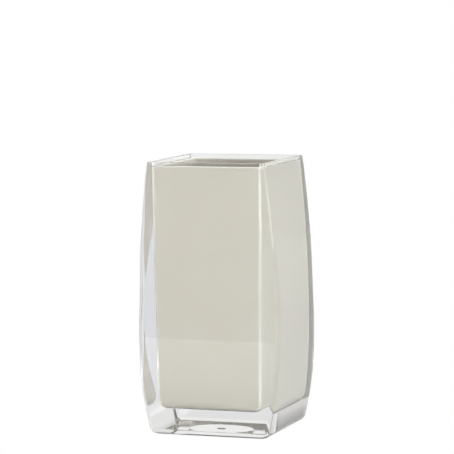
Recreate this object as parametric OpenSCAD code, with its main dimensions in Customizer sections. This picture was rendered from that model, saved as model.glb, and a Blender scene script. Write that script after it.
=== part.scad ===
// Square tumbler-type holder for the washstand: a thick clear acrylic body whose two side
// faces belly out, with an opaque drafted liner cup bonded into its pocket.
// The origin is the centre of the foot, +X points to a bellied side, -Y to the flat front
// and +Z up. All lengths are in millimetres.

/* [Outer body] */
// Width across the two bellied sides at the mouth
body_w = 58; // [54:0.5:66]
// Depth between the flat front and back faces
body_d = 58; // [54:0.5:72]
// Height from the surface it stands on to the rim
body_h = 129; // [100:1:160]
// How far each side bellies out past the edge of the mouth
belly_out = 6.2; // [2:0.1:10]
// Height at which the sides are widest
belly_h = 48; // [34:1:54]
// How far each side comes back in from its widest line to the foot
foot_in = 6.2; // [3:0.1:8]
// Radius of the corner between each bellied side and the foot
foot_r = 4; // [2:0.5:6]
// Radius of the round at the foot of the front and back faces
base_edge_r = 3.5; // [1:0.5:5]
// Radius of the rounds on the four upright edges at the mouth and the foot
edge_r = 0.8; // [0.3:0.1:1.4]
// Height at which the upright edges are softest
soft_h = 60; // [40:1:80]
// Thickness of the clear wall at the mouth
wall_t = 1.7; // [1.4:0.1:3]
// Thickness of the solid clear base under the pocket
base_t = 12.1; // [8:0.1:18]

/* [Underside] */
// Diameter of the shallow round recess in the underside
recess_dia = 32; // [20:1:40]
// Depth of the recess
recess_depth = 1.2; // [0.6:0.1:2]
// Diameter of the moulding gate's stub inside the recess
gate_dia = 3; // [2:0.5:5]
// Height of the gate stub, which stays inside the recess
gate_h = 0.5; // [0.2:0.1:0.6]

/* [Pocket and liner] */
// How far each pocket wall leans in between the rim and the pocket floor
draft_in = 1.5; // [0.6:0.1:2]
// Radius of the round between the pocket walls and its floor
pocket_floor_r = 4.3; // [3:0.1:6]
// Radius of the upright corners of the pocket
pocket_corner_r = 1.8; // [1.2:0.1:3]
// Gap between the pocket walls and the liner, which the adhesive fills
liner_gap = 0.3; // [0.2:0.05:0.5]
// Wall thickness of the liner
liner_t = 1.8; // [1.2:0.1:2.4]
// Thickness of the liner's floor
liner_floor_t = 2.2; // [1.4:0.1:3]
// How far the liner's rim lies below the rim of the clear body
liner_drop = 1.9; // [0.5:0.1:4]
// Radius of the upright corners inside the liner
liner_inner_r = 1; // [0.6:0.1:2]
// Radius of the round between the liner's inner walls and its floor
liner_inner_floor_r = 2.6; // [1.4:0.1:4]

/* [Bonding] */
// Height of the clear sealing bead between the liner's rim and the pocket wall
seal_h = 1.4; // [0.8:0.1:3]
// Thickness of the clear adhesive under the liner's floor
bond_t = 0.3; // [0.2:0.05:0.6]

/* [Hidden] */
// One overrun serves all cuts
overrun = 1;
// Width across the bellied sides where they are widest
belly_w = body_w + 2 * belly_out;
// Radii of the two arcs of each bellied side, which meet upright at the widest height
upper_r = ((body_h - belly_h) ^ 2 + belly_out ^ 2) / (2 * belly_out);
lower_r = (belly_h ^ 2 + foot_in ^ 2) / (2 * foot_in);
// Where the foot's corner arc would touch the lower side arc from inside
corner_x = belly_w / 2 - lower_r + sqrt((lower_r - foot_r) ^ 2 - (belly_h - foot_r) ^ 2);
// The arc lies this share of its radius further out and down, to cross side and underside
corner_out_share = 1 / 130;
corner_out = foot_r * corner_out_share;
corner_angle = asin((belly_h - foot_r) / (lower_r - foot_r));
// Radius of the softest stretch of the upright edges, as a share of how far the sides belly out
soft_share = 0.8;
soft_r = belly_out * soft_share;
// The large wheel that softens them stays this far outside the sides, and outside the flat faces
soft_out = edge_r / 2;
soft_side = edge_r / 8;
// At the mouth it has drawn clear of the sides by its own edge radius
soft_wheel_r = (body_h - soft_h) ^ 2 / (2 * (belly_out + soft_out - soft_r));
// Heights of the liner
liner_z = base_t + bond_t;
rim_z = body_h - liner_drop;
liner_r = pocket_corner_r - liner_gap;
liner_floor_r = pocket_floor_r - liner_gap;
// Height where the adhesive ends and the sealing bead begins
bond_z = rim_z - seal_h;

// Lean of the pocket walls at height z, counted from the rim
function lean(z) = draft_in * (body_h - z) / (body_h - base_t);
// Width and depth at height z of a shape that follows the pocket at a given inset
function space_w(z, inset) = body_w - 2 * (wall_t + inset + lean(z));
function space_d(z, inset) = body_d - 2 * (wall_t + inset + lean(z));

// Half section of a wheel, whose tread has rounded edges
module tread_section(r, w, edge) {
    square([r - edge, w]);
    translate([0, edge]) square([r, w - 2 * edge]);
    for (y = [edge, w - edge])
        translate([r - edge, y]) circle(edge, $fn = 48);
}

// Wheel that lies across the body, with its axle along Y
module wheel(r, w, edge) {
    translate([0, w / 2, 0]) rotate([90, 0, 0])
        rotate_extrude($fn = 720) tread_section(r, w, edge);
}

// Slab of the full plan between two heights
module slab(z0, z1) {
    translate([-belly_w / 2 - overrun, -body_d / 2 - overrun, z0])
        cube([belly_w + 2 * overrun, body_d + 2 * overrun, z1 - z0]);
}

// What lies inside both bellied sides of one arc radius, between two heights
module bellied_band(r, z0, z1) {
    intersection() {
        intersection_for (s = [-1, 1])
            translate([s * (belly_w / 2 - r), 0, belly_h]) wheel(r, body_d, edge_r);
        slab(z0, z1);
    }
}

// Waste outside the corner round of one side of the foot
module foot_waste() {
    reach = 2 * foot_r;
    translate([corner_x + corner_out, 0, foot_r - corner_out]) difference() {
        rotate([90, 0, 0])
            translate([0, 0, -body_d / 2 - overrun])
            linear_extrude(body_d + 2 * overrun)
            polygon([
                [0, 0],
                [reach * cos(corner_angle), -reach * sin(corner_angle)],
                [reach, -reach],
                [0, -reach]
            ]);
        wheel(foot_r, body_d, edge_r);
    }
}

// Waste outside a round of radius r whose centre line runs along X at height r
module edge_waste(r, length) {
    rotate([90, 0, 90])
        translate([0, 0, -length / 2])
        linear_extrude(length)
        difference() {
            translate([-r - overrun, -r - overrun]) square(r + overrun);
            circle(r, $fn = 64);
        }
}

// What lies between the two large wheels that soften the upright edges round the belly
module soft_edges() {
    intersection_for (s = [-1, 1])
        translate([s * (belly_w / 2 + soft_out - soft_wheel_r), 0, soft_h])
        wheel(soft_wheel_r, body_d + 2 * soft_side, soft_r);
}

// Clear block before the pocket is made
module block() {
    difference() {
        intersection() {
            union() {
                bellied_band(upper_r, belly_h, body_h);
                bellied_band(lower_r, 0, belly_h);
            }
            soft_edges();
        }
        for (s = [0, 1]) mirror([s, 0, 0]) foot_waste();
        for (s = [0, 1]) mirror([0, s, 0])
            translate([0, base_edge_r - body_d / 2, base_edge_r])
            edge_waste(base_edge_r, belly_w);
    }
}

// Drafted square column that follows the pocket walls at an inset
module column(inset, z0, z1, corner) {
    w = space_w(z0, inset);
    d = space_d(z0, inset);
    translate([0, 0, z0])
        linear_extrude(z1 - z0, scale = [space_w(z1, inset) / w, space_d(z1, inset) / d])
        offset(corner, $fn = 40)
        square([w - 2 * corner, d - 2 * corner], center = true);
}

// The same column with a round of radius r around its floor
module rounded_column(inset, z0, z1, corner, r) {
    w = space_w(z0 + r, inset);
    d = space_d(z0 + r, inset);
    difference() {
        column(inset, z0, z1, corner);
        for (s = [0, 1]) mirror([0, s, 0])
            translate([0, r - d / 2, z0 + r]) edge_waste(r, w + 2 * overrun);
        for (s = [0, 1]) mirror([s, 0, 0])
            translate([r - w / 2, 0, z0 + r])
            rotate([0, 0, -90]) edge_waste(r, d + 2 * overrun);
    }
}

// Clear body: bellied block with the pocket and the round recess in its underside
module outer_body() {
    color([0.9, 0.92, 0.9, 0.45]) {
        difference() {
            block();
            rounded_column(0, base_t, body_h + overrun, pocket_corner_r, pocket_floor_r);
            translate([0, 0, -overrun])
                cylinder(h = recess_depth + overrun, d = recess_dia, $fn = 96);
        }
        translate([0, 0, recess_depth - gate_h])
            cylinder(h = gate_h, d = gate_dia, $fn = 48);
    }
}

// Opaque cup that stands in the pocket
module inner_liner() {
    inner_inset = liner_gap + liner_t;
    color([0.83, 0.82, 0.76])
        difference() {
            rounded_column(liner_gap, liner_z, rim_z, liner_r, liner_floor_r);
            rounded_column(
                inner_inset, liner_z + liner_floor_t, rim_z + overrun,
                liner_inner_r, liner_inner_floor_r
            );
        }
}

// Clear bead that closes the joint just below the liner's rim
module rim_seal() {
    color([0.88, 0.9, 0.88, 0.6])
        intersection() {
            difference() {
                column(0, base_t, body_h, pocket_corner_r);
                column(liner_gap, liner_z, rim_z + overrun, liner_r);
            }
            slab(bond_z, rim_z);
        }
}

// Clear adhesive that fills the gap under the liner and round its walls
module bond_layer() {
    color([0.88, 0.9, 0.88, 0.6])
        difference() {
            rounded_column(0, base_t, bond_z, pocket_corner_r, pocket_floor_r);
            rounded_column(liner_gap, liner_z, bond_z + overrun, liner_r, liner_floor_r);
        }
}

outer_body();
inner_liner();
rim_seal();
bond_layer();
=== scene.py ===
# %% [markdown]
# A square toothbrush holder in clear acrylic, with an off-white cup inside. Its look comes from
# light: thick clear walls that bend what is behind them, over a satin cup that stays plain. It
# could be faked with painted highlights, but those would be wrong from any other side. So this
# lesson builds two clean shells with real wall thicknesses, fills the joint between them, and
# lets the render do the rest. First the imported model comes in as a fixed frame, and everything
# is measured from it.

# %% Load the frame
import math

import bmesh
import bpy
from mathutils import Matrix, Vector


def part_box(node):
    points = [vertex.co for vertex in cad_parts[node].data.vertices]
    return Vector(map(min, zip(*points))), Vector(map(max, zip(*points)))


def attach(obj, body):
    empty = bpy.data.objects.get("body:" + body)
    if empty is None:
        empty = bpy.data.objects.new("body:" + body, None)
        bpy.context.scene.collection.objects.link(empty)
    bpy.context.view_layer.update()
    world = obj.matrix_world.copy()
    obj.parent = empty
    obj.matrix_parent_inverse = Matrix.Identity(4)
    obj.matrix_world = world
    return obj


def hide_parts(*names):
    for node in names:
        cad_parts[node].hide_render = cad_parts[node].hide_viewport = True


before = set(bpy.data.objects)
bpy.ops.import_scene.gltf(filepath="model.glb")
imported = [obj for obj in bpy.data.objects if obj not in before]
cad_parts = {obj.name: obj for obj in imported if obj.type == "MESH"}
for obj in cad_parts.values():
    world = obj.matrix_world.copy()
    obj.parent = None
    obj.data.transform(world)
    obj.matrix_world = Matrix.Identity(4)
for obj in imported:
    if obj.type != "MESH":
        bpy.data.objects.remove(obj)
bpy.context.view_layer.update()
mm = 0.001
body_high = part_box("outer_body")[1]
liner_low, liner_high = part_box("inner_liner")
seal_low, seal_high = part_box("rim_seal")
bond_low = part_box("bond_layer")[0]

# %% [markdown]
# The camera comes first, because clear plastic looks different from every side. It stands a
# little over a metre away with a long lens, as for a catalogue picture: a long lens keeps the
# upright edges nearly parallel. It could be aimed with a constraint, but a place worked out from
# three angles is easier to correct. It looks slightly down, so the mouth of the cup just shows,
# and a small roll matches the tilt of the picture.

# %% Camera
photo_pixels = 454
sensor_width = 36.0
view_azimuth = 19.6
view_elevation = 7.17
view_roll = -0.67
view_distance = 1250 * mm
focal_pixels = 2621
middle_height = 64 * mm
aim_right = 0.27 * mm
aim_up = 32.16 * mm
nearest_seen = 10 * mm
farthest_seen = 20


def square_to(back):
    """The two directions square to a view, sideways and upwards."""
    sideways = Vector((0, 0, 1)).cross(back).normalized()
    return sideways, back.cross(sideways)


def place_camera():
    """Put the camera on a circle round the holder and turn it to a point above its middle."""
    azimuth = math.radians(view_azimuth)
    elevation = math.radians(view_elevation)
    back = Vector((
        math.sin(azimuth) * math.cos(elevation),
        -math.cos(azimuth) * math.cos(elevation),
        math.sin(elevation),
    ))
    middle = Vector((0, 0, middle_height))
    place = middle + back * view_distance
    sideways, upwards = square_to(back)
    aim = middle + sideways * aim_right + upwards * aim_up
    backwards = (place - aim).normalized()
    turn = Matrix((*square_to(backwards), backwards)).transposed()
    roll = Matrix.Rotation(math.radians(view_roll), 3, "Z")
    data = bpy.data.cameras.new("camera")
    data.sensor_width = sensor_width
    data.lens = focal_pixels / photo_pixels * sensor_width
    data.clip_start = nearest_seen
    data.clip_end = farthest_seen
    camera = bpy.data.objects.new("camera", data)
    camera.matrix_world = Matrix.Translation(place) @ (turn @ roll).to_4x4()
    bpy.context.scene.collection.objects.link(camera)
    bpy.context.scene.camera = camera
    return camera


camera = place_camera()
print("camera at", [round(c, 3) for c in camera.location], "lens", round(camera.data.lens, 1))

# %% [markdown]
# Every piece here is square with round corners, and the recess underneath is round. A box with
# bevels could give the squares, but not walls that lean and belly. So each shape is drawn as a
# stack of rings: level outlines with the same number of points, whatever their form. The first
# helper draws a rectangle with round corners, the second a circle.

# %% Rings
quarter_turn = math.radians(90)
corner_steps = 8
side_steps = 16
corner_signs = ((1, -1), (1, 1), (-1, 1), (-1, -1))
ring_points = len(corner_signs) * (corner_steps + side_steps)


def spoke(radius, angle):
    """The way from a corner's middle to its outline."""
    return radius * Vector((math.cos(angle), math.sin(angle)))


def rounded_ring(half_w, half_d, corner, z):
    """One ring: a rectangle with round corners, counter-clockwise from above."""
    middles = [Vector((sx * (half_w - corner), sy * (half_d - corner))) for sx, sy in corner_signs]
    points = []
    for k, middle in enumerate(middles):
        start = quarter_turn * (k - 1)
        for i in range(corner_steps + 1):
            points.append(middle + spoke(corner, start + quarter_turn * i / corner_steps))
        next_middle = middles[(k + 1) % len(middles)]
        out = spoke(corner, start + quarter_turn)
        for i in range(1, side_steps):
            points.append(middle.lerp(next_middle, i / side_steps) + out)
    return [Vector((p.x, p.y, z)) for p in points]


def round_ring(radius, z):
    """One ring: a circle with as many points as the rounded rectangles have."""
    first = -quarter_turn / 2 - math.pi * corner_steps / ring_points
    turns = [first + 2 * math.pi * i / ring_points for i in range(ring_points)]
    return [Vector((radius * math.cos(a), radius * math.sin(a), z)) for a in turns]


print("each ring has", ring_points, "points")

# %% [markdown]
# A loft joins the stack of rings with quads. One chain of rings can run from the middle of the
# underside, out and up the outside, over the rim and down to the middle of the pocket's floor,
# so a whole shell is watertight without any boolean. That matters for clear plastic: light has
# to enter and leave through real faces. Smooth shading with weighted normals keeps flats flat.

# %% Loft
full_weight = 100


def skin(name, rings, closed=False):
    """Quads between the rings. An open chain gets a point at the middle of each end."""
    bm = bmesh.new()
    rows = [[bm.verts.new(p) for p in ring] for ring in rings]
    pairs = list(zip(rows, rows[1:]))
    if closed:
        pairs.append((rows[-1], rows[0]))
    for low, high in pairs:
        for i in range(ring_points):
            j = (i + 1) % ring_points
            bm.faces.new((low[i], low[j], high[j], high[i]))
    if not closed:
        for row in (rows[0], rows[-1]):
            hub = bm.verts.new(sum((v.co for v in row), Vector()) / ring_points)
            for i in range(ring_points):
                bm.faces.new((row[i], row[(i + 1) % ring_points], hub))
    bmesh.ops.recalc_face_normals(bm, faces=bm.faces)
    mesh = bpy.data.meshes.new(name)
    bm.to_mesh(mesh)
    bm.free()
    return mesh


def loft(name, rings, closed=False):
    """A smooth piece skinned over the rings."""
    mesh = skin(name, rings, closed)
    mesh.polygons.foreach_set("use_smooth", [True] * len(mesh.polygons))
    piece = bpy.data.objects.new(name, mesh)
    bpy.context.scene.collection.objects.link(piece)
    weighted = piece.modifiers.new("even_shading", "WEIGHTED_NORMAL")
    weighted.mode = "FACE_AREA"
    weighted.weight = full_weight
    return piece


print("a loft of two rings has", ring_points, "quads and two end caps")

# %% [markdown]
# The clear body is a thick block. Its left and right sides belly out on two arcs that meet
# upright at the widest height, and a small arc turns each side into the foot. Front and back
# are flat. It would be moulded in one shot round a drafted core, which is why the pocket
# narrows downwards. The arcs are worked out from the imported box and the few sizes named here.

# %% Sizes of the clear body
half_belly = body_high.x
half_depth = body_high.y
height = body_high.z
half_mouth = 29 * mm
belly_height = 48 * mm
foot_in = 6.2 * mm
foot_round = 4 * mm
belly_out = half_belly - half_mouth
upper_arc = ((height - belly_height) ** 2 + belly_out ** 2) / (2 * belly_out)
lower_arc = (belly_height ** 2 + foot_in ** 2) / (2 * foot_in)
arc_rise = belly_height - foot_round
corner_x = half_belly - lower_arc + math.sqrt((lower_arc - foot_round) ** 2 - arc_rise ** 2)
lean_angle = math.degrees(math.asin(arc_rise / (lower_arc - foot_round)))
print("side arcs in mm", round(upper_arc / mm), round(lower_arc / mm), "lean", round(lean_angle, 1))

# %% [markdown]
# The upright edges aren't equally sharp all the way. They are crisp at the rim, fairly crisp at
# the foot and soft about half way up, which shows as the two lens shapes in the left wall. A
# polisher's wheel leaves such edges. A bevel has one width all along, so a short list of heights
# and radii, eased between, says here how soft the edge is at each height.

# %% Upright edges
edge_round = 0.8 * mm
edge_heights = (0, 20 * mm, 45 * mm, 65 * mm, 95 * mm, height)
edge_rounds = (2 * mm, 2 * mm, 3.7 * mm, 4.7 * mm, 2.8 * mm, edge_round)


def edge_round_at(z):
    """Radius of the upright edges at height z."""
    for low, high, start, stop in zip(edge_heights, edge_heights[1:], edge_rounds, edge_rounds[1:]):
        if z <= high:
            share = (z - low) / (high - low)
            eased = share * share * (3 - 2 * share)
            return start + (stop - start) * eased
    return edge_round


print("edge radius in mm", [round(edge_round_at(z) / mm, 2) for z in edge_heights])

# %% [markdown]
# The outside is now a stack of rings whose half width follows the arcs. Front and back keep
# their depth but for a round at the foot. More rings stand where the curve is tight, so that
# the clear body bends the light evenly.

# %% Outside
base_round = 3.5 * mm
rim_round = 0.15 * mm
foot_rings = 14
lower_rings = 16
upper_rings = 24


def arc(start, stop, steps):
    """Angles in radians from start to stop degrees, both ends included."""
    return [math.radians(start + (stop - start) * i / steps) for i in range(steps + 1)]


def outside_rings():
    """Rings from the flat underside up the bellied outside to the rim."""
    side = [(corner_x + foot_round * math.cos(a), foot_round * (1 + math.sin(a)))
            for a in arc(-90, -lean_angle, foot_rings)]
    side += [(half_belly - lower_arc + lower_arc * math.cos(a), belly_height + lower_arc * math.sin(a))
             for a in arc(-lean_angle, 0, lower_rings)[1:]]
    top_angle = math.degrees(math.asin((height - rim_round - belly_height) / upper_arc))
    side += [(half_belly - upper_arc + upper_arc * math.cos(a), belly_height + upper_arc * math.sin(a))
             for a in arc(0, top_angle, upper_rings)[1:]]
    rings = []
    for half_w, z in side:
        drop = max(base_round - z, 0)
        fillet = math.sqrt(max(base_round ** 2 - drop ** 2, 0))
        rings.append(rounded_ring(half_w, half_depth - base_round + fillet, edge_round_at(z), z))
    return rings


print("the outside has", len(outside_rings()), "rings")

# %% [markdown]
# The pocket is the hole that the core of the mould leaves. Its walls have draft, so the piece
# lets go of the core. The same helpers also draw the walls of the cup and of the adhesive, each
# at its own inset from the pocket walls, so all of them fit.

# %% Pocket walls
wall = 1.7 * mm
draft = 1.5 * mm
base = bond_low.z


def pocket_half(z, inset=0.0):
    """Half width of a square that follows the drafted pocket walls at height z."""
    return half_mouth - wall - inset - draft * (height - z) / (height - base)


def wall_ring(inset, z, corner):
    """One ring that follows the pocket walls at an inset."""
    half = pocket_half(z, inset)
    return rounded_ring(half, half, corner, z)


def wall_rings(inset, top, bottom, corner, steps):
    """Rings down the drafted walls, both ends included."""
    return [wall_ring(inset, top + (bottom - top) * i / steps, corner) for i in range(steps + 1)]


print("pocket in mm", round(2 * pocket_half(height) / mm, 1), "to", round(2 * pocket_half(base) / mm, 1))

# %% [markdown]
# A moulded cup has no sharp bends, because plastic flows badly round them. Its lower edge has a
# generous round, and its rim a small one on both edges. A bevel could cut them afterwards, but
# it would leave uneven faces at the corners. Here they are rings on a quarter of a circle.

# %% Round floors and rims
pocket_corner = 1.8 * mm
pocket_floor_round = 4.3 * mm
floor_round_rings = 12
rim_round_rings = 5
corner_left_share = 0.3


def floor_rings(inset, floor, corner, floor_round):
    """Rings round the lower edge of a drafted cup, down to its flat floor."""
    low = floor + floor_round
    rings = []
    for a in arc(0, 90, floor_round_rings):
        back = floor_round * (1 - math.cos(a))
        half = pocket_half(low, inset) - back
        left = corner * (1 - (1 - corner_left_share) * back / floor_round)
        rings.append(rounded_ring(half, half, left, low - floor_round * math.sin(a)))
    return rings


def rim_rings(outer_w, outer_d, outer_corner, inner, inner_corner, z, r):
    """Rings over a rim whose two edges have the same small round."""
    rings = []
    for a in arc(0, 90, rim_round_rings)[1:]:
        back = r * (1 - math.cos(a))
        rings.append(rounded_ring(outer_w - back, outer_d - back, outer_corner - back,
                                  z - r + r * math.sin(a)))
    for a in arc(90, 0, rim_round_rings):
        back = r * (1 - math.cos(a))
        rings.append(rounded_ring(inner + back, inner + back, inner_corner + back,
                                  z - r + r * math.sin(a)))
    return rings


print("the lower edge has a radius of", pocket_floor_round / mm, "mm")

# %% [markdown]
# Underneath there is a shallow round recess, polished like the rest, with the stub of the
# moulding gate in its middle. From the front it shows as a bright ellipse in the base, because
# the flat underside round it mirrors the cup and the recess doesn't. It could be cut with a
# boolean, but it can just as well start the chain of rings, from the stub outwards, and then no
# cut has to be cleaned up.

# %% Recess underneath
recess_radius = 16 * mm
recess_depth = 1.2 * mm
recess_round = 0.25 * mm
gate_radius = 1.5 * mm
gate_height = 0.5 * mm
small_round_rings = 3
crease_share = 0.1
roof_shares = (0.1, 0.3, 0.55, 0.8)


def recess_rings():
    """Rings of the underside, from the gate stub out over the recess to its edge."""
    r = recess_round
    tip = recess_depth - gate_height
    turns = arc(0, 90, small_round_rings)
    rings = [round_ring(gate_radius / 2, tip)]
    rings += [round_ring(gate_radius - r + r * math.sin(a), tip + r - r * math.cos(a)) for a in turns]
    rings += [round_ring(gate_radius + crease_share * r, recess_depth - crease_share * r)]
    rings += [round_ring(gate_radius + share * (recess_radius - r - gate_radius), recess_depth)
              for share in roof_shares]
    rings += [round_ring(recess_radius - r + r * math.sin(a), recess_depth - r + r * math.cos(a))
              for a in turns]
    rings += [round_ring(recess_radius + r - r * math.cos(a), r - r * math.sin(a)) for a in turns]
    return rings


print("the recess has", len(recess_rings()), "rings")

# %% [markdown]
# Now the clear body itself. Adhesive fills the joint to the cup, so light passes from the clear
# wall straight to the cup, with no air between to turn it back. That is why the cup also shows
# from the side, mirrored in the bellied walls. So the inside of the clear shell steps in to just
# behind the cup's skin below the rim, and follows it down to the floor.

# %% Clear body
liner_gap = 0.3 * mm
liner_corner = 1.5 * mm
hair = 0.02 * mm
wet = liner_gap + hair
bead_drop = 0.3 * mm
bead_top = seal_high.z - bead_drop
bead_low = seal_low.z
step_height = 0.05 * mm
first_step_share = 0.4
liner_floor_round = pocket_floor_round - liner_gap
above_bead_rings = 3
inside_rings = 28


def make_clear_body():
    inside = pocket_corner - wet
    first = first_step_share * wet
    rings = recess_rings() + outside_rings()
    rings += rim_rings(half_mouth, half_depth, edge_round, half_mouth - wall, pocket_corner,
                       height, rim_round)
    rings += wall_rings(0, height - 2 * rim_round, bead_top + 2 * step_height, pocket_corner,
                        above_bead_rings)
    rings += [wall_ring(first, bead_top, pocket_corner - first)]
    rings += wall_rings(wet, bead_top - step_height, liner_low.z + liner_floor_round, inside,
                        inside_rings)[:-1]
    rings += floor_rings(wet, liner_low.z + hair, inside, liner_floor_round - hair)
    return loft("clear_body", rings)


clear_body = make_clear_body()
print("clear body has", len(clear_body.data.polygons), "faces")

# %% [markdown]
# The cup inside is a thin opaque moulding of its own. It follows the pocket at an even gap, so
# its walls have the same draft, and its floor has a generous round that shows through the front
# as a curved lower corner. Its rim stands a little below the clear one. A modifier could thicken
# a single skin, but the rounds inside are tighter than those outside, so both skins are drawn.

# %% Liner cup
liner_wall = 1.8 * mm
liner_floor = 2.2 * mm
liner_inner_corner = 1 * mm
liner_inner_round = 2.6 * mm
liner_rim_round = 0.5 * mm
outer_wall_rings = 24
inner_wall_rings = 12


def make_liner():
    low, high = liner_low.z, liner_high.z
    edge = high - liner_rim_round
    inner = liner_gap + liner_wall
    inner_low = low + liner_floor
    rings = floor_rings(liner_gap, low, liner_corner, liner_floor_round)[::-1]
    rings += wall_rings(liner_gap, low + liner_floor_round, edge, liner_corner, outer_wall_rings)[1:]
    rings += rim_rings(pocket_half(edge, liner_gap), pocket_half(edge, liner_gap), liner_corner,
                       pocket_half(edge, inner), liner_inner_corner, high, liner_rim_round)
    rings += wall_rings(inner, edge, inner_low + liner_inner_round, liner_inner_corner,
                        inner_wall_rings)[1:-1]
    rings += floor_rings(inner, inner_low, liner_inner_corner, liner_inner_round)
    return loft("liner_cup", rings)


liner_cup = make_liner()
print("liner cup has", len(liner_cup.data.polygons), "faces")

# %% [markdown]
# Two pieces of clear adhesive hold the cup. The first is a bead that closes the joint at the
# rim. It lies inside the clear shell drawn above, a hair away from the cup's skin, so that no
# two faces share a place, which would show as black speckles. A profile could be swept along a
# curve for it, but five rings in a closed chain follow the same drafted walls as all the rest.

# %% Rim bead
bead_dip = 0.08 * mm
bead_crown = 0.06 * mm


def make_rim_bead():
    corner = pocket_corner
    rings = [
        wall_ring(hair, bead_low, corner),
        wall_ring(liner_gap - hair, bead_low + hair, corner - liner_gap),
        wall_ring(liner_gap - hair, bead_top - bead_dip, corner - liner_gap),
        wall_ring(liner_gap / 2, bead_top - bead_crown, corner - liner_gap / 2),
        wall_ring(hair, bead_top, corner),
    ]
    return loft("rim_bead", rings, closed=True)


rim_bead = make_rim_bead()
print("rim bead is", round((bead_top - bead_low) / mm, 2), "mm high")

# %% [markdown]
# The second piece is the film round the cup's walls and under its floor. It would be poured as
# a liquid and cured with light. A boolean between the two shells could leave just this film, but
# with ragged faces. So it is drawn as a thin cup of its own, outside first and then back along
# the inside.

# %% Bond film
film_wall_rings = 4


def make_bond_film():
    inner = liner_gap - hair
    top = bead_low - hair
    rings = floor_rings(hair, bond_low.z + hair, pocket_corner, pocket_floor_round - hair)[::-1]
    rings += wall_rings(hair, bond_low.z + pocket_floor_round, top, pocket_corner, film_wall_rings)[1:]
    rings += wall_rings(inner, top, liner_low.z + liner_floor_round, liner_corner,
                        film_wall_rings)[:-1]
    rings += floor_rings(inner, liner_low.z - hair, liner_corner, liner_floor_round + hair)
    return loft("bond_film", rings)


bond_film = make_bond_film()
print("bond film is", round((liner_gap - 2 * hair) / mm, 2), "mm thick")

# %% [markdown]
# Next come the finishes. Real mouldings are never quite even, so each finish is a small node
# material made from sums and soft noise, with no picture in it. A painted picture would need
# unwrapping, and would have no true scale, while object coordinates give every pattern its real
# size in metres. The first helpers make a material, a noise, a change of range and a bump.

# %% Material helpers
def new_material(name):
    """A node material with one Principled shader. Returns it, its nodes, links and shader."""
    material = bpy.data.materials.new(name)
    material.use_nodes = True
    nodes, links = material.node_tree.nodes, material.node_tree.links
    return material, nodes, links, nodes["Principled BSDF"]


def texture_place(nodes):
    """Object coordinates, so that a pattern has a real size in metres."""
    return nodes.new("ShaderNodeTexCoord").outputs["Object"]


def noise(nodes, links, place, size, detail):
    """Soft noise whose blobs are about size metres across."""
    node = nodes.new("ShaderNodeTexNoise")
    node.inputs["Scale"].default_value = 1 / size
    node.inputs["Detail"].default_value = detail
    links.new(place, node.inputs["Vector"])
    return node.outputs["Fac"]


def between(nodes, links, value, low, high, to_low, to_high):
    """Map a range of values onto another."""
    node = nodes.new("ShaderNodeMapRange")
    for socket, number in zip(("From Min", "From Max", "To Min", "To Max"),
                              (low, high, to_low, to_high)):
        node.inputs[socket].default_value = number
    links.new(value, node.inputs["Value"])
    return node.outputs["Result"]


def bump(nodes, links, heights, depth):
    """A bump of the given depth in metres."""
    node = nodes.new("ShaderNodeBump")
    node.inputs["Distance"].default_value = depth
    node.inputs["Strength"].default_value = 1
    links.new(heights, node.inputs["Height"])
    return node.outputs["Normal"]


print("one millimetre is", mm, "in the units of these patterns")

# %% [markdown]
# Clear acrylic bends light with an index of 1.49, and every face of this body is polished, the
# recess too. What keeps it from looking like a drawing is a very slight waviness, which the
# plastic takes while it cools. A trace of green and grey tints the thick places. Blender's glass
# shader would look nearly the same, but with the Principled one all finishes are set alike.

# %% Clear acrylic
acrylic_tint = (0.975, 0.98, 0.972, 1)
acrylic_index = 1.49
wave_size = 30 * mm
wave_detail = 1
wave_depth = 0.02 * mm


def make_clear_acrylic():
    material, nodes, links, shader = new_material("clear_acrylic")
    shader.inputs["Base Color"].default_value = acrylic_tint
    shader.inputs["Transmission Weight"].default_value = 1
    shader.inputs["IOR"].default_value = acrylic_index
    shader.inputs["Roughness"].default_value = 0
    wave = noise(nodes, links, texture_place(nodes), wave_size, wave_detail)
    links.new(bump(nodes, links, wave, wave_depth), shader.inputs["Normal"])
    return material


clear_acrylic = make_clear_acrylic()
print(clear_acrylic.name, "bends light with an index of", acrylic_index)

# %% [markdown]
# Along its upright corners and on its rim the cup looks almost white, where its rounded edges
# catch the light. That is a painted highlight: a whiter colour laid into the plastic there. Real
# light through the thin wall and off its rounds would show it, but is slow to render and noisy
# behind clear walls. A mask finds those places from the distance to the cup's own outline, which
# gets wider with the height as the draft of the walls says.

# %% Edges where light soaks in
corner_highlight_reach = (0.6 * mm, 1.3 * mm)
rim_highlight_reach = (0.9 * mm, 0.2 * mm)


def parted(nodes, links, place):
    """The three numbers of a place."""
    node = nodes.new("ShaderNodeSeparateXYZ")
    links.new(place, node.inputs[0])
    return node.outputs


def fill_in(links, sockets, terms):
    """Give each socket its term, a link from another node or fixed numbers."""
    for socket, term in zip(sockets, terms):
        if isinstance(term, bpy.types.NodeSocket):
            links.new(term, socket)
        else:
            socket.default_value = term


def work_out(nodes, links, operation, *terms):
    """One step of arithmetic on single values."""
    node = nodes.new("ShaderNodeMath")
    node.operation = operation
    fill_in(links, node.inputs, terms)
    return node.outputs[0]


def painted_edge_highlight(nodes, links, place):
    """Painted highlight mask: one on the outer upright corners of the cup and on its rim, zero
    elsewhere.
    """
    parts = parted(nodes, links, place)
    low, high = liner_low.z, liner_high.z
    outline = between(nodes, links, parts["Z"], low, high,
                      pocket_half(low, liner_gap), pocket_half(high, liner_gap))
    marks = []
    for axis in ("X", "Y"):
        aside = work_out(nodes, links, "ABSOLUTE", parts[axis])
        short = work_out(nodes, links, "SUBTRACT", outline, aside)
        marks.append(between(nodes, links, short, *corner_highlight_reach, 1, 0))
    corner = work_out(nodes, links, "MULTIPLY", *marks)
    rim_from, rim_to = (high - drop for drop in rim_highlight_reach)
    rim = between(nodes, links, parts["Z"], rim_from, rim_to, 0, 1)
    return work_out(nodes, links, "MAXIMUM", corner, rim)


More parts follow.
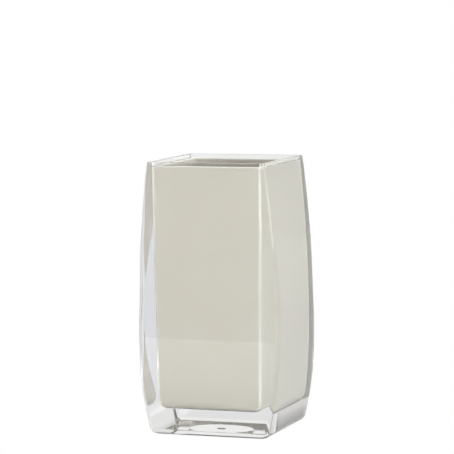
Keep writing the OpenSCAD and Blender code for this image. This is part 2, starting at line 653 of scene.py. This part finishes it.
print("corners glow within", corner_highlight_reach[1] / mm, "mm of the edge")

# %% [markdown]
# The cup is a warm off-white plastic, moulded and then lightly blasted, so it is satin and has
# no clear reflections. One flat colour would look like paint. Two shades in large soft clouds
# show how the pigment flowed, and a fine grain breaks up the shine, in the bump as well as in
# the roughness, so that both change together as on a blasted skin.

# %% Liner plastic
cloud_size = 22 * mm
cloud_detail = 3
cloud_dark = (0.86, 0.82, 0.745, 1)
cloud_light = (0.90, 0.865, 0.795, 1)
# The next colour is a painted highlight, laid on the cup's upright corners and rim.
painted_highlight_colour = (0.97, 0.96, 0.9, 1)
liner_index = 1.5
grain_size = 0.6 * mm
grain_detail = 2
grain_depth = 0.01 * mm
grain_range = (0.3, 0.7)
satin_range = (0.3, 0.42)


def make_liner_plastic():
    material, nodes, links, shader = new_material("liner_plastic")
    place = texture_place(nodes)
    clouds = nodes.new("ShaderNodeValToRGB")
    clouds.color_ramp.elements[0].color = cloud_dark
    clouds.color_ramp.elements[1].color = cloud_light
    links.new(noise(nodes, links, place, cloud_size, cloud_detail), clouds.inputs["Fac"])
    lit = nodes.new("ShaderNodeMix")
    lit.data_type = "RGBA"
    # Mix in the painted highlight on the corners and the rim.
    links.new(painted_edge_highlight(nodes, links, place), lit.inputs["Factor"])
    links.new(clouds.outputs["Color"], lit.inputs["A"])
    lit.inputs["B"].default_value = painted_highlight_colour
    links.new(lit.outputs["Result"], shader.inputs["Base Color"])
    shader.inputs["IOR"].default_value = liner_index
    grain = noise(nodes, links, place, grain_size, grain_detail)
    links.new(between(nodes, links, grain, *grain_range, *satin_range), shader.inputs["Roughness"])
    links.new(bump(nodes, links, grain, grain_depth), shader.inputs["Normal"])
    return material


liner_plastic = make_liner_plastic()
print(liner_plastic.name, "has clouds of", cloud_size / mm, "mm and a grain of", grain_size / mm, "mm")

# %% [markdown]
# The cured adhesive bends light almost as the acrylic does. Inside acrylic only the ratio of the
# two indices matters, and it is close to one, so the adhesive all but disappears, as it should.
# The lowest part, under the floor, is tinted grey as painted shade: it darkens the cup's image
# in the base, as shade under the cup would. A soft gradient over the height gives that, and a
# trace of haze in small patches shows where the adhesive was stirred. A second material could
# carry the grey, but would end in a line.

# %% Clear adhesive
adhesive_index = 1.01
# The grey at the low end of these steps is painted shade under the cup's floor.
painted_shade_depth = 0.4 * mm
painted_shade_steps = (
    (0.0, 0.68, 0.685, 0.71),
    (1.0, 0.975, 0.978, 0.965),
)
haze_size = 1.5 * mm
haze_detail = 3
haze_range = (0.35, 0.75)
haze_roughness = (0.0, 0.1)


def colour_steps(nodes, links, value, low, high, steps):
    """Soft colour gradient over a range of values. Steps are (share, red, green, blue)."""
    halfway = 0.5
    ramp = nodes.new("ShaderNodeValToRGB")
    ramp.color_ramp.interpolation = "EASE"
    marks = ramp.color_ramp.elements
    while len(marks) < len(steps):
        marks.new(halfway)
    for mark, (share, red, green, blue) in zip(marks, steps):
        mark.position = share
        mark.color = (red, green, blue, 1)
    links.new(between(nodes, links, value, low, high, 0, 1), ramp.inputs["Fac"])
    return ramp.outputs["Color"]


def make_clear_adhesive():
    material, nodes, links, shader = new_material("clear_adhesive")
    shader.inputs["Transmission Weight"].default_value = 1
    shader.inputs["IOR"].default_value = adhesive_index
    place = texture_place(nodes)
    depth = parted(nodes, links, place)["Z"]
    floor = liner_low.z
    # Painted shade: grey at the floor, fading out upwards.
    tint = colour_steps(nodes, links, depth, floor, floor + painted_shade_depth, painted_shade_steps)
    links.new(tint, shader.inputs["Base Color"])
    haze = noise(nodes, links, place, haze_size, haze_detail)
    links.new(between(nodes, links, haze, *haze_range, *haze_roughness), shader.inputs["Roughness"])
    return material


clear_adhesive = make_clear_adhesive()
print(clear_adhesive.name, "has a relative index of", adhesive_index)

# %% [markdown]
# On the real holder nothing moves, so all four pieces ride the one body of the frame. Each takes
# its finish and stands in for the plain solid that it was drawn over. Doing this piece by piece
# would repeat the same lines four times, so a table keeps them together and a loop goes over it.

# %% Dress the pieces
dressing = (
    (clear_body, clear_acrylic, "outer_body", "clear_acrylic"),
    (liner_cup, liner_plastic, "inner_liner", "liner_plastic"),
    (rim_bead, clear_adhesive, "rim_seal", "clear_bond"),
    (bond_film, clear_adhesive, "bond_layer", "clear_bond"),
)
for piece, material, node_name, slot_name in dressing:
    piece.data.materials.append(material)
    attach(piece, "root")
    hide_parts(node_name)
    print(piece.name, "stands for", node_name)

# %% [markdown]
# The stage. The picture is a catalogue cut-out: the holder stands on pure white and throws no
# shadow, yet its clear walls show a softly graded studio. So the sheet it stands on and the
# space round it look white when they are seen directly, and give their real, softer light to
# everything they shine on or are seen through. These helpers make that split.

# %% Seen white
white = (1, 1, 1, 1)


def empty_nodes(owner):
    """Switch a material or a world to nodes, and clear them."""
    owner.use_nodes = True
    owner.node_tree.nodes.clear()
    return owner.node_tree.nodes, owner.node_tree.links


def seen_white(nodes, links, colour, strength, make_shader, make_output):
    """Shine in a colour, but look plain white where it is seen directly."""
    shown = nodes.new(make_shader)
    shown.inputs["Strength"].default_value = strength
    links.new(colour, shown.inputs["Color"])
    plain = nodes.new(make_shader)
    plain.inputs["Color"].default_value = white
    look = nodes.new("ShaderNodeLightPath")
    mix = nodes.new("ShaderNodeMixShader")
    links.new(look.outputs["Is Camera Ray"], mix.inputs["Fac"])
    links.new(shown.outputs[0], mix.inputs[1])
    links.new(plain.outputs[0], mix.inputs[2])
    output = nodes.new(make_output)
    links.new(mix.outputs[0], output.inputs["Surface"])


print("the stage looks white directly")

# %% [markdown]
# The sheet is what the holder stands on. It lies a hair below the foot, because the underside
# only mirrors while there is air under it. An operator could add a plane, but four corners put
# its ends straight where they are wanted. As stage it isn't taken for a piece of the holder.

# %% Sheet
sheet_front, sheet_back = -0.33, 1.7
sheet_half_width = 0.75
sheet_low = -0.05 * mm


def make_sheet():
    bm = bmesh.new()
    corners = ((-1, sheet_front), (1, sheet_front), (1, sheet_back), (-1, sheet_back))
    bm.faces.new([bm.verts.new((side * sheet_half_width, y, sheet_low)) for side, y in corners])
    mesh = bpy.data.meshes.new("sheet")
    bm.to_mesh(mesh)
    bm.free()
    sheet = bpy.data.objects.new("sheet", mesh)
    bpy.context.scene.collection.objects.link(sheet)
    return sheet


sheet = make_sheet()
print("the sheet ends", -sheet_front, "m in front")

# %% [markdown]
# The sheet gives light of its own. White card under the lamps would be more usual, but then its
# shades couldn't be chosen. It is brightest at its front end, which the flat front face mirrors
# as a paler zone with a soft upper edge, and it is in shade where the holder stands. At the back
# left a round patch is brighter, and the left side of the clear rim shows it as a pale band.

# %% Light of the sheet
sheet_strength = 2.3
shade_reach = (22 * mm, 28 * mm)
shade_depth = 0.1
patch_place = (-0.35, 0.55, sheet_low)
patch_reach = (0.17, 0.22)
patch_gain = 1.5
floor_end = 1.32
floor_steps = (
    (0.0, 1.0, 0.98, 0.95),
    (0.08, 0.86, 0.84, 0.81),
    (0.15, 0.5, 0.49, 0.48),
    (0.2, 0.33, 0.33, 0.33),
    (0.4, 0.315, 0.315, 0.33),
    (0.8, 0.39, 0.39, 0.385),
)


def work_out_threes(nodes, links, operation, *terms):
    """One step of arithmetic on three numbers at once, such as a place or a colour."""
    node = nodes.new("ShaderNodeVectorMath")
    node.operation = operation
    fill_in(links, node.inputs, terms)
    return node.outputs


def make_white_sheet():
    material = bpy.data.materials.new("white_sheet")
    nodes, links = empty_nodes(material)
    place = texture_place(nodes)
    parts = parted(nodes, links, place)
    aside = [work_out(nodes, links, "ABSOLUTE", parts[axis]) for axis in ("X", "Y")]
    reach = work_out(nodes, links, "MAXIMUM", *aside)
    shade = between(nodes, links, reach, *shade_reach, shade_depth, 1)
    away = work_out_threes(nodes, links, "DISTANCE", place, patch_place)["Value"]
    patch = between(nodes, links, away, *patch_reach, patch_gain, 1)
    share = work_out(nodes, links, "MULTIPLY", shade, patch)
    colour = colour_steps(nodes, links, parts["Y"], sheet_front, floor_end, floor_steps)
    light = work_out_threes(nodes, links, "MULTIPLY", colour, share)["Vector"]
    seen_white(nodes, links, light, sheet_strength, "ShaderNodeEmission", "ShaderNodeOutputMaterial")
    return material


white_sheet = make_white_sheet()
sheet.data.materials.append(white_sheet)
print(white_sheet.name, "has", len(floor_steps), "shades from front to back")

# %% [markdown]
# The lamps are low and wide, at the height of the holder. So they light the cup from outside,
# through the clear walls, and hardly reach into its mouth, which stays dark a little way down.
# Ordinary lamps from above would fill the cup with light. Only a small one hangs straight over
# it and catches the rim. The two lamps beside the holder would show as hard white shapes in the
# bellied sides, so they are hidden from reflections.

# %% Lamps
lamp_aim = Vector((0, 0, height / 2))
cool_white = (0.96, 1, 1)
plain_white = (1, 1, 1)
# Each row: name, place, size, watts, colour, and whether it shows in reflections
lamps = (
    ("softbox_left", (-1.25, -0.6, 0.13), (0.9, 0.24), 13.8, plain_white, False),
    ("softbox_front", (0.2, -1.5, 0.14), (0.8, 0.26), 1.6, plain_white, True),
    ("softbox_top", (0, 0, 1.4), (0.2, 0.2), 10, plain_white, True),
    ("softbox_right", (1.25, -0.4, 0.14), (0.7, 0.26), 15, cool_white, False),
)


def add_lamp(name, place, size, watts, colour, mirrored):
    """A rectangular soft lamp that looks at the middle of the holder."""
    data = bpy.data.lights.new(name, "AREA")
    data.shape = "RECTANGLE"
    data.size, data.size_y = size
    data.energy = watts
    data.color = colour
    lamp = bpy.data.objects.new(name, data)
    lamp.location = place
    lamp.rotation_mode = "QUATERNION"
    lamp.rotation_quaternion = (lamp_aim - Vector(place)).to_track_quat("-Z", "Y")
    lamp.visible_glossy = mirrored
    bpy.context.scene.collection.objects.link(lamp)


for lamp in lamps:
    add_lamp(*lamp)
    print(lamp[0], "gives", lamp[3], "watts")

# %% [markdown]
# The space round the stage is what the clear walls show and mirror. It is brightest at the back
# left, and it darkens upwards, so that little light falls into the mouth. At the back it stays
# bright a little higher, as a white wall would. Real walls could stand there, but they would
# have hard borders that show in the clear plastic. Two soft gradients, one round the holder and
# one over the height, have none.

# %% Space round the stage
brightest_side = (-0.35, 0.94, 0)
back_wall_share = 0.12
space_steps = (
    (0.0, 0.84, 0.82, 0.81),
    (0.4, 0.69, 0.69, 0.685),
    (0.84, 0.75, 0.75, 0.745),
    (0.98, 0.87, 0.87, 0.86),
)
height_steps = (
    (0.6, 1, 1, 1),
    (0.7, 0.45, 0.45, 0.45),
    (0.8, 0.15, 0.15, 0.15),
)


def space_light(nodes, links, look, look_up):
    """Colour of the space, for each direction of a look."""
    along = work_out_threes(nodes, links, "DOT_PRODUCT", look, brightest_side)["Value"]
    above = work_out(nodes, links, "MULTIPLY_ADD", along, -back_wall_share, look_up)
    round_it = colour_steps(nodes, links, along, -1, 1, space_steps)
    over_height = colour_steps(nodes, links, above, -1, 1, height_steps)
    return work_out_threes(nodes, links, "MULTIPLY", round_it, over_height)["Vector"]


print("brightest towards", brightest_side)

# %% [markdown]
# A soft bright screen stands low on the right, and the round front edge mirrors it as one fine
# line. A narrow lamp would give that line too, but from other sides it would show as a hard
# white shape. So the screen is a brighter part of the same space, with four soft borders.

# %% Bright screen
screen_side = (0.92, -0.38, 0)
screen_width = (0.85, 0.98)
screen_foot = (-0.07, -0.01)
screen_top = (0.2, 0.08)
screen_light = 5.5


def screen_glow(nodes, links, look, look_up):
    """Extra light, which only a look towards the screen meets."""
    beside = work_out_threes(nodes, links, "DOT_PRODUCT", look, screen_side)["Value"]
    glow = between(nodes, links, beside, *screen_width, 0, screen_light)
    for border in (screen_foot, screen_top):
        inside = between(nodes, links, look_up, *border, 0, 1)
        glow = work_out(nodes, links, "MULTIPLY", glow, inside)
    return glow


print("the screen adds a light of", screen_light, "on the side", screen_side)

# %% [markdown]
# Blender's world holds whatever lies beyond the models, so both go in there, one added to the
# other. A picture of a real studio could fill it too, but would bring foreign shapes with it.

# %% World
def make_world():
    world = bpy.data.worlds.new("studio")
    nodes, links = empty_nodes(world)
    look = nodes.new("ShaderNodeTexCoord").outputs["Generated"]
    look_up = parted(nodes, links, look)["Z"]
    space = space_light(nodes, links, look, look_up)
    screen = screen_glow(nodes, links, look, look_up)
    light = work_out_threes(nodes, links, "ADD", space, screen)["Vector"]
    seen_white(nodes, links, light, 1, "ShaderNodeBackground", "ShaderNodeOutputWorld")
    return world


bpy.context.scene.world = make_world()
print("the world is called", bpy.context.scene.world.name)

# %% [markdown]
# Light in thick clear plastic turns back many times before it gets out, so the paths may be
# long. With short ones the base and the edges would turn black. Plain colours are shown as they
# are, without a film look, because the picture is a plain catalogue one.

# %% Light paths
path_turns = {
    "max_bounces": 24,
    "transmission_bounces": 20,
    "glossy_bounces": 12,
    "diffuse_bounces": 6,
}
for setting, turns in path_turns.items():
    setattr(bpy.context.scene.cycles, setting, turns)
bpy.context.scene.view_settings.view_transform = "Standard"
print("paths may turn", path_turns["max_bounces"], "times")
